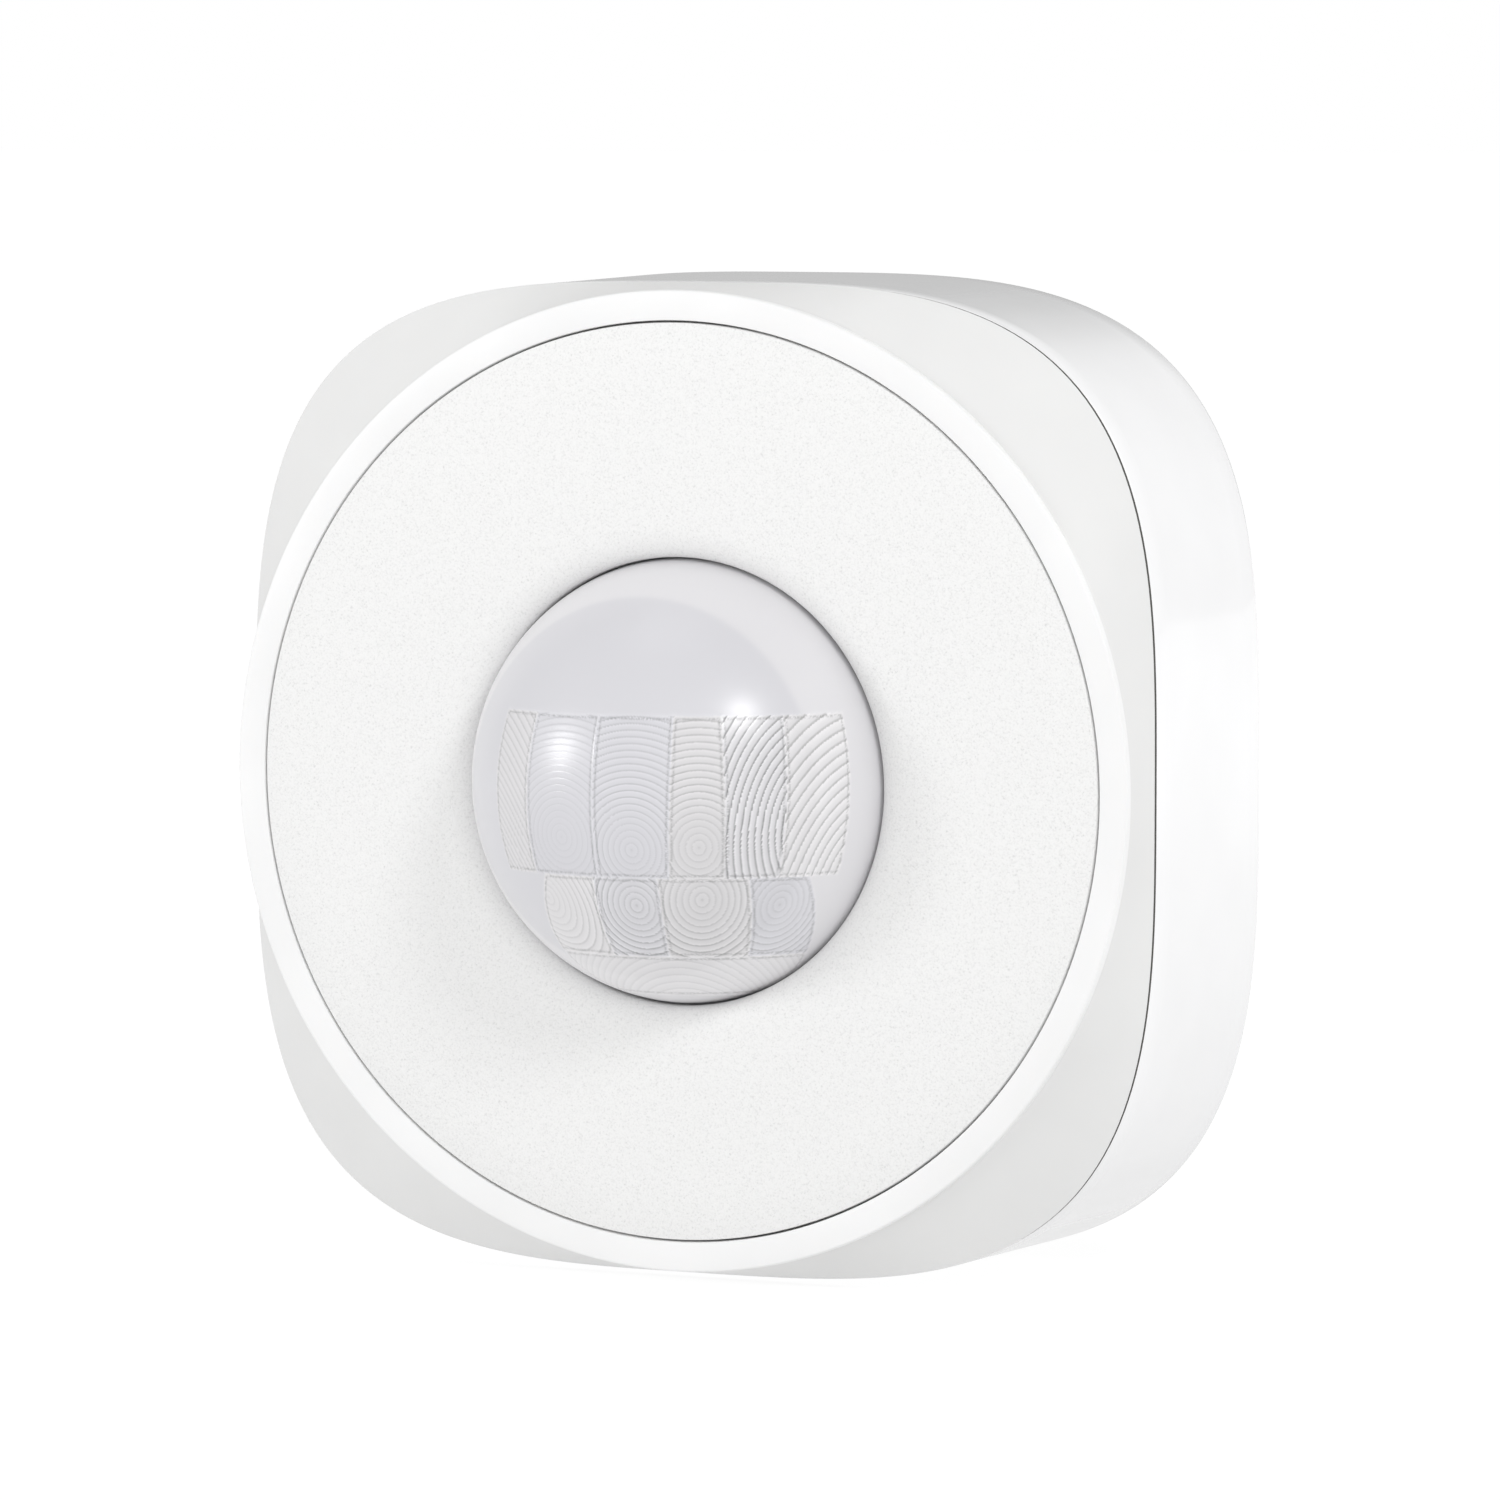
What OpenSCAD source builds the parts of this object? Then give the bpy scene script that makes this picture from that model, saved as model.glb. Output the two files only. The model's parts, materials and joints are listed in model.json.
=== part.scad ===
// Wall-mounted infrared motion sensor with a domed lens, a clip-on back cover
// and a slide-on wall bracket. Millimetres.
// The rear of the wall bracket lies in the plane y = 0 and the lens axis is z = 0.
// The front faces -Y and +Z is up. Depths are measured back from the front face.

/* [Housing] */
// Half the width and height of the housing at the front seam
housing_half = 30; // [29.8:0.1:31]
// How much wider each side is at the back edge
back_flare = 0.3; // [0.1:0.1:0.6]
// Power of the rounded-square outline
outline_power = 3.4; // [3.3:0.1:3.6]
// Distance from the front face to the wall
wall_to_front = 20.4; // [20.2:0.1:21]
// Depth of the seam between the front shell and the band
seam_depth = 3.15; // [2.8:0.05:3.2]
// Gap between the front shell and the band that the gasket fills
seam_gap = 0.25; // [0.2:0.05:0.4]

/* [Face] */
// Radius of the bright ring round the face
ring_radius = 29.55; // [29.2:0.05:29.6]
// Radius of the textured face disc
disc_radius = 27.6; // [27:0.1:27.8]
// Gap round the face disc
disc_gap = 0.15; // [0.1:0.05:0.3]
// Thickness of the face disc
disc_thickness = 1.7; // [1.4:0.1:1.8]
// Radius of the lens hole in the face disc
lens_hole_radius = 13.52; // [13.5:0.02:14]
// Depth of the rolled lip round the lens hole
lip_depth = 1.05; // [0.6:0.05:1.1]
// Width of the rolled lip round the lens hole
lip_width = 1.68; // [1:0.02:2]

/* [Lens] */
// Outer radius of the lens dome
dome_radius = 13.55; // [13.2:0.05:13.55]
// Thickness of the lens dome
dome_wall = 0.7; // [0.5:0.1:0.9]
// Depth of the centre of the dome
dome_centre = 3.4; // [3.3:0.05:3.6]

/* [Battery] */
// Radius of the coin cell
cell_radius = 12.25; // [11.5:0.05:12.25]
// Thickness of the coin cell
cell_thickness = 5; // [3:0.1:5]

/* [Wall bracket] */
// Distance between the two wall screw holes
screw_spacing = 16; // [14:1:18]
// Radius of the wall screw holes
screw_hole_radius = 2.1; // [1.6:0.1:2.3]

/* [Sub-parts] */
// Every sub-part, each of which can be drawn alone
// The sub-part to draw, or all of them

/* [Hidden] */
// Segments of a full circle
round_sides = 96;
// Points round the rounded-square outline
outline_points = 96;
// Overlap used where two cuts or two solids meet
bite = 0.1;

// Front shell
rim_edge = 0.45;
rim_chamfer = 0.15;
plate_sliver = 0.05;
web_back = 3.3;
lens_opening_radius = 14;
flange_front = 2.5;
flange_radius = 15.4;
flange_gap = 0.2;
skirt_half = 28.3;
skirt_wall = 1.3;
skirt_back = 5;
stake_ring = 16.2;
stake_radius = 0.8;
stake_head_radius = 1.4;
stake_back = 5;
stake_angles = [45, 135, 225, 315];

// Lens retainer
retainer_radius = 17.7;
retainer_inner = 12.9;
retainer_back = 4.5;

// Corner screws that join the front shell to the band
corner = 20.6;
corner_boss_radius = 3;
corner_boss_back = 9.9;
corner_shelf_radius = 5;
corner_shelf_front = 10;
corner_shelf_back = 12;
corner_screw_radius = 0.95;
corner_head_radius = 2;
corner_head_height = 1.3;
corner_screw_tip = 4.6;
screw_hole_gap = 0.05;
shelf_hole_radius = 1.2;
recess_depth = 0.6;
recess_width = 0.5;
recess_length = 1.1;

// Band
band_wall = 1.5;
cavity_half = housing_half - band_wall;
rebate_half = 29.1;
rebate_front = 17.6;
back_edge = 19.6;
gasket_outer = 29.6;
gasket_inner = 28.4;

// Circuit board
board_half = 26.5;
board_front = 7.5;
board_back = 8.7;
board_corner_cut = 3.6;
standoffs = [[-22.5, 8], [22.5, 8], [0, -22.8]];
standoff_radius = 2.2;
standoff_hole_radius = 0.95;
board_screw_radius = 0.9;
board_screw_tip = 5;
board_head_radius = 1.9;
board_head_height = 1.1;
board_hole_radius = 1.1;

// Infrared detector
can_radius = 4.575;
can_front = 3.4;
can_brim_radius = 4.95;
can_brim = 0.5;
window_width = 4;
window_height = 3;
window_thickness = 0.5;
lead_ring = 2.54;
lead_radius = 0.25;
lead_hole_radius = 0.4;
lead_angles = [45, 135, 225];

// Parts on the front of the board
led_at = [7.5, -6.5];
led_radius = 1.5;
led_shoulder = 5.6;
chip_at = [-15.5, 13.5];
chip_size = 7;
chip_front = 6.1;
chip_leads = 7;
lead_pitch = 0.9;
lead_width = 0.4;
lead_reach = 1;
lead_front = 7.1;
radio_at = [0, 20];
radio_size = [15, 8];
radio_board = 0.8;
shield_size = [11, 6.6];
shield_front = 5;
capacitor_spots = [[-20, -11], [-14.5, -17.5]];
capacitor_radius = 2.3;
capacitor_front = 5;
resistor_z = -12;
resistor_count = 7;
resistor_pitch = 2.6;
resistor_size = [1.6, 0.8];
resistor_front = 7;
antenna_at = [18.5, -15];
antenna_turns = 6;
antenna_pitch = 2.6;
antenna_width = 0.7;
antenna_reach = 5;
antenna_front = 7.4;

// Battery holder on the back of the board
holder_z = -3;
holder_inner = cell_radius + 0.2;
holder_wall = 1.2;
holder_base = 1;
holder_back = 13.6;
cell_front = board_back + holder_base;
cell_back = cell_front + cell_thickness;
cell_rim = 0.4;
cell_step = 1.1;
notch_width = 12;
notch_reach = 5;
contact_width = 4;
contact_length = 16;
contact_thickness = 0.3;
contact_gap = 0.2;
clip_width = 5;
clip_thickness = 0.3;
clip_gap = 0.1;
clip_reach = holder_inner + holder_wall + 0.4;

// Switches on the back of the board
switch_size = 6;
switch_back = 12.2;
tamper_at = [-20, -10];
tamper_radius = 1.6;
tamper_foot = 10.6;
tamper_tip = 16.4;
tamper_bore_front = 9.7;
tamper_gap = 0.05;
learn_at = [20, -10];
learn_radius = 1.7;
learn_foot = 11;
learn_tip = 13.4;
learn_bore_front = 10.2;
power_at = [0, 20];
power_size = [9, 4.4];
power_slot = [4.4, 1.6];
power_slot_front = 10.7;
knob_size = [2, 1.4];
knob_foot = 10.9;
knob_tip = 14;
knob_gap = 0.2;

// Back cover
cover_half = 28.8;
cover_front = 17.8;
pocket_half = 15.2;
pocket_wall = 1.6;
pocket_low = -24.3;
pocket_high = 15.4;
pocket_floor = 17;
lip_reach = 2;
lip_front = 18.5;
tab_low = 6;
tab_high = 12;
tongue_width = 8;
tongue_out = 28.1;
tongue_thickness = 1.1;
tongue_front = 14.6;
tamper_boss_gap = 0.05;

// Wall bracket
plate_half = 13;
plate_height_half = 15;
plate_front = 17.2;
plate_back = 18.4;
tab_half = 14.8;
pad_half = 12;
pad_height_half = 14;
countersink_radius = 4;
countersink_back = 19.2;

// Colours
face_white = [0.94, 0.94, 0.94];
shell_white = [0.96, 0.96, 0.96];
lens_milk = [0.86, 0.85, 0.87];
dark_rubber = [0.14, 0.13, 0.13];
board_green = [0.05, 0.26, 0.13];
steel = [0.72, 0.72, 0.73];
black_resin = [0.07, 0.07, 0.08];
copper = [0.78, 0.6, 0.28];
lamp_red = [0.85, 0.25, 0.2];
plunger_ivory = [0.85, 0.85, 0.82];

// One point of a rounded-square outline
function outline_point(half, angle) = [
    half * sign(cos(angle)) * pow(abs(cos(angle)), 2 / outline_power),
    half * sign(sin(angle)) * pow(abs(sin(angle)), 2 / outline_power)
];

// The rounded square seen from the front
module rounded_square(half) {
    step = 360 / outline_points;
    polygon([for (i = [0 : outline_points - 1]) outline_point(half, (i + 0.5) * step)]);
}

// Extrudes a front view between two depths
module slab(front, back) {
    translate([0, back - wall_to_front, 0])
        rotate([90, 0, 0])
            linear_extrude(height = back - front)
                children();
}

// A turned solid round the lens axis, from points of radius and height in front of the face
module turned(points) {
    rotate([90, 0, 0])
        translate([0, 0, wall_to_front])
            rotate_extrude($fn = round_sides)
                polygon(points);
}

// A rod along the depth
module rod(at, radius, front, back) {
    translate([at[0], back - wall_to_front, at[1]])
        rotate([90, 0, 0])
            cylinder(h = back - front, r = radius, $fn = round_sides);
}

// A ring along the depth
module ring(at, outer, inner, front, back) {
    difference() {
        rod(at, outer, front, back);
        rod(at, inner, front - bite, back + bite);
    }
}

// A block centred on a spot of the front view
module block(at, size, front, back) {
    translate([at[0] - size[0] / 2, front - wall_to_front, at[1] - size[1] / 2])
        cube([size[0], back - front, size[1]]);
}

// Repeats a shape in the four corners
module in_corners() {
    for (x = [-corner, corner], z = [-corner, corner])
        translate([x, 0, z])
            children();
}

// A pan-head screw with a cross recess, driven in from the back
module screw(at, radius, head_radius, head_height, tip, seat) {
    difference() {
        union() {
            rod(at, radius, tip, seat + bite);
            rod(at, head_radius, seat, seat + head_height);
        }
        block(at, [recess_length * 2, recess_width],
              seat + head_height - recess_depth, seat + head_height + bite);
        block(at, [recess_width, recess_length * 2],
              seat + head_height - recess_depth, seat + head_height + bite);
    }
}

// Ring, sloping shoulders and skirt, with the ledge, lens opening and bosses behind them
module front_shell() {
    rim = [
        [disc_radius + disc_gap, -disc_thickness],
        [disc_radius + disc_gap, -rim_chamfer],
        [disc_radius + disc_gap + rim_chamfer, 0],
        [ring_radius - rim_chamfer * 2, 0],
        [ring_radius - rim_chamfer / 2, -rim_chamfer / 2],
        [ring_radius, -rim_chamfer * 2],
        [ring_radius, -disc_thickness]
    ];
    color(shell_white) {
        difference() {
            union() {
                turned(rim);
                hull() {
                    slab(rim_edge, rim_edge + plate_sliver)
                        circle(r = ring_radius, $fn = round_sides);
                    slab(seam_depth - plate_sliver, seam_depth)
                        rounded_square(housing_half);
                }
                slab(seam_depth - bite, skirt_back)
                    rounded_square(skirt_half);
            }
            rod([0, 0], disc_radius + disc_gap, -bite, disc_thickness);
            rod([0, 0], lens_opening_radius, disc_thickness - bite, web_back + bite);
            rod([0, 0], flange_radius + flange_gap, flange_front, web_back + bite);
            slab(web_back, skirt_back + bite)
                rounded_square(skirt_half - skirt_wall);
        }
        for (spot = standoffs)
            difference() {
                rod(spot, standoff_radius, web_back - bite, board_front);
                rod(spot, standoff_hole_radius, board_screw_tip - bite, board_front + bite);
            }
        in_corners()
            difference() {
                rod([0, 0], corner_boss_radius, web_back - bite, corner_boss_back);
                rod([0, 0], corner_screw_radius + screw_hole_gap,
                    corner_screw_tip - bite, corner_boss_back + bite);
            }
        for (angle = stake_angles) {
            rod(stake_ring * [cos(angle), sin(angle)], stake_radius, web_back - bite, stake_back);
            rod(stake_ring * [cos(angle), sin(angle)], stake_head_radius, retainer_back, stake_back);
        }
    }
}

// Textured disc with a lip that rolls into the lens hole
module face_disc() {
    lip_steps = 8;
    lip = [for (i = [0 : lip_steps])
        [lens_hole_radius + lip_width * (1 - cos(90 * i / lip_steps)),
         -lip_depth * (1 - sin(90 * i / lip_steps))]];
    edge = [
        [disc_radius - rim_chamfer, 0],
        [disc_radius, -rim_chamfer],
        [disc_radius, -disc_thickness],
        [lens_hole_radius, -disc_thickness]
    ];
    color(face_white)
        turned(concat(lip, edge));
}

// Translucent dome with a flange clamped behind the shell
module fresnel_lens() {
    color(lens_milk)
        difference() {
            union() {
                intersection() {
                    translate([0, dome_centre - wall_to_front, 0])
                        sphere(r = dome_radius, $fn = round_sides);
                    rod([0, 0], flange_radius, dome_centre - dome_radius - bite, web_back);
                }
                rod([0, 0], flange_radius, flange_front, web_back);
            }
            translate([0, dome_centre - wall_to_front, 0])
                sphere(r = dome_radius - dome_wall, $fn = round_sides);
        }
}

// Ring staked over the lens flange
module lens_retainer() {
    color(shell_white)
        difference() {
            ring([0, 0], retainer_radius, retainer_inner, web_back, retainer_back);
            for (angle = stake_angles)
                rod(stake_ring * [cos(angle), sin(angle)], stake_radius + bite,
                    web_back - bite, retainer_back + bite);
        }
}

// Dark gasket that shows as the seam between the shell and the band
module seam_gasket() {
    color(dark_rubber)
        slab(seam_depth, seam_depth + seam_gap)
            difference() {
                rounded_square(gasket_outer);
                rounded_square(gasket_inner);
            }
}

// Glossy band with a screw shelf in each corner and a rebate for the cover
module rear_housing() {
    front = seam_depth + seam_gap;
    color(shell_white)
        difference() {
            hull() {
                slab(front, front + plate_sliver)
                    rounded_square(housing_half);
                slab(back_edge - plate_sliver, back_edge)
                    rounded_square(housing_half + back_flare);
            }
            difference() {
                slab(front - bite, back_edge + bite)
                    rounded_square(cavity_half);
                in_corners()
                    rod([0, 0], corner_shelf_radius, corner_shelf_front, corner_shelf_back);
            }
            slab(rebate_front, back_edge + bite)
                rounded_square(rebate_half);
            in_corners()
                rod([0, 0], shelf_hole_radius, corner_shelf_front - bite, corner_shelf_back + bite);
        }
}

// Four screws through the band's shelves into the front shell
module housing_screws() {
    color(steel)
        in_corners()
            screw([0, 0], corner_screw_radius, corner_head_radius, corner_head_height,
                corner_screw_tip, corner_shelf_back);
}

// Board cut away round the corner bosses
module circuit_board() {
    color(board_green)
        difference() {
            slab(board_front, board_back)
                rounded_square(board_half);
            in_corners()
                rod([0, 0], board_corner_cut, board_front - bite, board_back + bite);
            for (spot = standoffs)
                rod(spot, board_hole_radius, board_front - bite, board_back + bite);
            for (angle = lead_angles)
                rod(lead_ring * [cos(angle), sin(angle)], lead_hole_radius,
                    board_front - bite, board_back + bite);
        }
}

// Screws that hold the board on its standoffs
module board_screws() {
    color(steel)
        for (spot = standoffs)
            screw(spot, board_screw_radius, board_head_radius, board_head_height,
                  board_screw_tip, board_back);
}

// Metal can of the infrared detector
module pir_sensor() {
    color(steel)
        difference() {
            union() {
                rod([0, 0], can_radius, can_front, board_front);
                rod([0, 0], can_brim_radius, board_front - can_brim, board_front);
            }
            block([0, 0], [window_width, window_height], can_front - bite, can_front + window_thickness);
        }
}

// Dark filter set in the front of the can
module pir_window() {
    color(black_resin)
        block([0, 0], [window_width, window_height], can_front, can_front + window_thickness);
}

// Three leads through the board
module pir_leads() {
    color(copper)
        for (angle = lead_angles)
            rod(lead_ring * [cos(angle), sin(angle)], lead_radius, board_front, board_back);
}

// Indicator lamp behind the lens
module status_led() {
    color(lamp_red)
        union() {
            rod(led_at, led_radius, led_shoulder, board_front);
            translate([led_at[0], led_shoulder - wall_to_front, led_at[1]])
                sphere(r = led_radius, $fn = round_sides);
        }
}

// Processor with a row of leads on each side
module microcontroller() {
    color(black_resin)
        union() {
            block(chip_at, [chip_size, chip_size], chip_front, board_front);
            for (i = [0 : chip_leads - 1]) {
                z = (i - (chip_leads - 1) / 2) * lead_pitch;
                block(chip_at + [0, z], [chip_size + lead_reach * 2, lead_width], lead_front, board_front);
            }
        }
}

// Radio daughter board with its shield
module radio_module() {
    color(steel)
        union() {
            block(radio_at, radio_size, board_front - radio_board, board_front);
            block(radio_at, shield_size, shield_front, board_front);
        }
}

// Two storage capacitors
module capacitors() {
    color(black_resin)
        for (spot = capacitor_spots)
            rod(spot, capacitor_radius, capacitor_front, board_front);
}

// Row of small chip resistors below the detector
module chip_components() {
    color(black_resin)
        for (i = [0 : resistor_count - 1])
            block([(i - (resistor_count - 1) / 2) * resistor_pitch, resistor_z], resistor_size,
                  resistor_front, board_front);
}

// Folded copper antenna on the front of the board
module antenna_trace() {
    color(copper)
        union()
            for (i = [0 : antenna_turns - 1]) {
                z = antenna_at[1] + i * antenna_pitch;
                side = (i % 2 == 0) ? antenna_at[0] : antenna_at[0] + antenna_reach - antenna_width;
                block([antenna_at[0] + antenna_reach / 2, z], [antenna_reach, antenna_width],
                    antenna_front, board_front);
                if (i < antenna_turns - 1)
                    block([side + antenna_width / 2, z + antenna_pitch / 2],
                        [antenna_width, antenna_pitch + antenna_width], antenna_front, board_front);
            }
}

// Round cup for the coin cell
module battery_holder() {
    color(black_resin)
        difference() {
            rod([0, holder_z], holder_inner + holder_wall, board_back, holder_back);
            rod([0, holder_z], holder_inner, cell_front, holder_back + bite);
            block([0, holder_z], [contact_width + contact_gap * 2, contact_length + contact_gap * 2],
                cell_front - contact_thickness - contact_gap, cell_front + bite);
            for (side = [-1, 1])
                block([side * holder_inner, holder_z], [notch_reach, notch_width],
                      cell_front, holder_back + bite);
        }
}

// Coin cell with its smaller front terminal
module battery() {
    color(steel)
        union() {
            rod([0, holder_z], cell_radius - cell_step, cell_front, cell_front + cell_rim + bite);
            rod([0, holder_z], cell_radius, cell_front + cell_rim, cell_back);
        }
}

// Strap over the cell with a leg at each end
module battery_clip() {
    strap_back = cell_back + clip_gap + clip_thickness;
    color(copper)
        union() {
            block([0, holder_z], [clip_width, clip_reach * 2], cell_back + clip_gap, strap_back);
            for (end = [-1, 1])
                block([0, holder_z + end * (clip_reach - clip_thickness / 2)], [clip_width, clip_thickness],
                    board_back, strap_back);
        }
}

// Leaf contact in the bottom of the cup
module battery_contact() {
    color(copper)
        block([0, holder_z], [contact_width, contact_length],
              cell_front - contact_thickness - contact_gap / 2, cell_front - contact_gap / 2);
}

// A square switch body with a round bore for its button
module button_switch(at, bore_radius, bore_front) {
    difference() {
        block(at, [switch_size, switch_size], board_back, switch_back);
        rod(at, bore_radius, bore_front, switch_back + bite);
    }
}

// Switch that senses the back cover
module tamper_switch_body() {
    color(black_resin)
        button_switch(tamper_at, tamper_radius + tamper_gap, tamper_bore_front);
}

// Plunger held down by the back cover
module tamper_plunger() {
    color(plunger_ivory)
        rod(tamper_at, tamper_radius, tamper_foot, tamper_tip);
}

// Switch used to pair the sensor
module learn_switch_body() {
    color(steel)
        button_switch(learn_at, learn_radius + tamper_gap, learn_bore_front);
}

// Push button of the pairing switch
module learn_button() {
    color(black_resin)
        rod(learn_at, learn_radius, learn_foot, learn_tip);
}

// Slide switch body with a slot for the knob
module power_switch_body() {
    color(steel)
        difference() {
            block(power_at, power_size, board_back, switch_back);
            block(power_at, power_slot, power_slot_front, switch_back + bite);
        }
}

// Knob at the off end of its slot
module power_switch_knob() {
    color(black_resin)
        block(power_at - [(power_slot[0] - knob_size[0]) / 2 - knob_gap, 0], knob_size, knob_foot, knob_tip);
}

// Cover with a sunken pocket and lips that hold the wall bracket
module back_cover() {
    pocket_at = [0, (pocket_low + pocket_high) / 2];
    pocket = [pocket_half * 2, pocket_high - pocket_low];
    color(shell_white)
        union() {
            difference() {
                union() {
                    slab(cover_front, back_edge)
                        rounded_square(cover_half);
                    block(pocket_at, pocket + [pocket_wall, pocket_wall] * 2, pocket_floor - pocket_wall,
                        cover_front + bite);
                }
                block(pocket_at, pocket, pocket_floor, back_edge + bite);
            }
            for (side = [-1, 1], level = [-1, 1])
                block([side * (pocket_half - lip_reach / 2 + bite / 2), level * (tab_low + tab_high) / 2],
                    [lip_reach + bite, tab_high - tab_low], lip_front, back_edge);
            for (angle = [0 : 90 : 270])
                rotate([0, angle, 0])
                    block([0, tongue_out - tongue_thickness / 2], [tongue_width, tongue_thickness],
                        tongue_front, cover_front + bite);
            rod(tamper_at, tamper_radius, tamper_tip + tamper_boss_gap, cover_front + bite);
        }
}

// Bracket screwed to the wall, with tabs that slide under the cover's lips
module wall_bracket() {
    color(shell_white)
        difference() {
            union() {
                block([0, 0], [plate_half, plate_height_half] * 2, plate_front, plate_back);
                for (level = [-1, 1])
                    block([0, level * (tab_low + tab_high) / 2], [tab_half * 2, tab_high - tab_low],
                        plate_front, plate_back);
                block([0, 0], [pad_half, pad_height_half] * 2, plate_back - bite, wall_to_front);
            }
            for (level = [-1, 1]) {
                rod([0, level * screw_spacing / 2], screw_hole_radius,
                    plate_front - bite, wall_to_front + bite);
                translate([0, plate_front - wall_to_front, level * screw_spacing / 2])
                    rotate([-90, 0, 0])
                        cylinder(h = countersink_back - plate_front, r1 = countersink_radius,
                            r2 = screw_hole_radius, $fn = round_sides);
            }
        }
}

front_shell();
face_disc();
fresnel_lens();
lens_retainer();
seam_gasket();
rear_housing();
housing_screws();
circuit_board();
board_screws();
pir_sensor();
pir_window();
pir_leads();
status_led();
microcontroller();
radio_module();
capacitors();
chip_components();
antenna_trace();
battery_holder();
battery();
battery_clip();
battery_contact();
tamper_switch_body();
tamper_plunger();
learn_switch_body();
learn_button();
power_switch_body();
power_switch_knob();
back_cover();
wall_bracket();
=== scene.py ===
"""Looks and camera for the motion sensor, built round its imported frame. All lengths are metres."""
import json
import math
from collections import namedtuple

import bmesh
import bpy
import numpy as np
from mathutils import Matrix, Vector

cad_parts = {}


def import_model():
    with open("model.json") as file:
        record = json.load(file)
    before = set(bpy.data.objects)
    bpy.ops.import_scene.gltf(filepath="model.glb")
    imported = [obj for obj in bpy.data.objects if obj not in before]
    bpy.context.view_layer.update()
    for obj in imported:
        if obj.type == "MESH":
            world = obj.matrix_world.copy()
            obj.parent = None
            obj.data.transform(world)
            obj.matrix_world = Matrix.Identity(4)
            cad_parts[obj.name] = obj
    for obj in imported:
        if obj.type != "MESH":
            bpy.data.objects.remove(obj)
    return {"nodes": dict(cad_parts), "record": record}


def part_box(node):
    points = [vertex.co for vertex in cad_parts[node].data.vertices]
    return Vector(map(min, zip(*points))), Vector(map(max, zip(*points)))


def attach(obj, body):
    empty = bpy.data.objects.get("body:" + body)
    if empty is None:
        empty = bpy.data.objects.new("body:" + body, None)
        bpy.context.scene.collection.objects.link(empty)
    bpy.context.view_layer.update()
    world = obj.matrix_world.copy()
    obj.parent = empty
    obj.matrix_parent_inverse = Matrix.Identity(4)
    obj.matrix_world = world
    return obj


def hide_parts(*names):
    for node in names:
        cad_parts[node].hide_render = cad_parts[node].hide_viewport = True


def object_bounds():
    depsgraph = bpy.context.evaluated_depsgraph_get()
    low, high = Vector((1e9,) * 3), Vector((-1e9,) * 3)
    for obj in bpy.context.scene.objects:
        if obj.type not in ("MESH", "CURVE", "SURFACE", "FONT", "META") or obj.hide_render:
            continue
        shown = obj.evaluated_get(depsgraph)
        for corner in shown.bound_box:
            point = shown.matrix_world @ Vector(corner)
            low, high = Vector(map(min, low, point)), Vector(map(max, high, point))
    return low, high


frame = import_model()
cad_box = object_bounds()

MM = 0.001
SHELL_LOW, SHELL_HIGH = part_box("front_shell")
BAND_LOW, BAND_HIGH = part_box("rear_housing")
FRONT = SHELL_LOW[1]                          # y of the front face
HOUSING_HALF = SHELL_HIGH[0]                  # half width at the seam
BACK_HALF = BAND_HIGH[0]                      # half width at the back edge
BACK_EDGE = BAND_HIGH[1] - FRONT              # depth of the band's back edge
OUTLINE_POWER = 3.4                           # power of the rounded-square outline
SIDES = 288                                   # points round a ring or an outline

SEAM_DEPTH = 3.15 * MM
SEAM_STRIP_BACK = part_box("seam_gasket")[1][1] - FRONT
DISC_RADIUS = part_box("face_disc")[1][0]
DISC_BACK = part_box("face_disc")[1][1] - FRONT
RECESS_RADIUS = DISC_RADIUS + 0.13 * MM
RING_RADIUS = HOUSING_HALF - 0.45 * MM
LENS_HOLE = 13.52 * MM
LENS_OPENING = 14.0 * MM
FLANGE_FRONT = 2.5 * MM
WEB_BACK = 3.3 * MM
FLANGE_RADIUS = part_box("fresnel_lens")[1][0]
DOME_RADIUS = 13.55 * MM
DOME_WALL = 0.7 * MM
DOME_CENTRE = 3.4 * MM                        # depth of the dome's centre
CORNER_BOSS = 20.6 * MM                       # screw bosses, off both centre lines


# ---------------------------------------------------------------- mesh helpers

def outline_radius(half, angle):
    """Distance from the axis to the rounded-square outline, at an angle round the lens axis."""
    c = abs(math.cos(angle))
    s = abs(math.sin(angle))
    return half / (c ** OUTLINE_POWER + s ** OUTLINE_POWER) ** (1 / OUTLINE_POWER)


def loop(radius, depth, squareness=0.0, half=0.0, centre=(0.0, 0.0), sides=SIDES):
    """A closed loop at one depth: a circle, a rounded square (squareness 1), or a mix of the two."""
    points = []
    for i in range(sides):
        angle = 2 * math.pi * i / sides
        reach = radius
        if squareness:
            reach = (1 - squareness) * radius + squareness * outline_radius(half, angle)
        x = centre[0] + reach * math.cos(angle)
        z = centre[1] + reach * math.sin(angle)
        points.append((x, FRONT + depth, z))
    return points


def square(half, depth):
    """A rounded-square loop."""
    return loop(0, depth, 1.0, half)


def skin(loops):
    """Quads between neighbouring loops, and from the last loop back to the first."""
    vertices = [p for ring in loops for p in ring]
    sides = len(loops[0])
    faces = []
    for k in range(len(loops)):
        a = k * sides
        b = ((k + 1) % len(loops)) * sides
        for i in range(sides):
            j = (i + 1) % sides
            faces.append((a + i, a + j, b + j, b + i))
    return vertices, faces


def merge(*parts):
    """Several (vertices, faces) pairs as one."""
    vertices = []
    faces = []
    for some_vertices, some_faces in parts:
        base = len(vertices)
        vertices.extend(some_vertices)
        faces.extend(tuple(base + i for i in face) for face in some_faces)
    return vertices, faces


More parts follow.
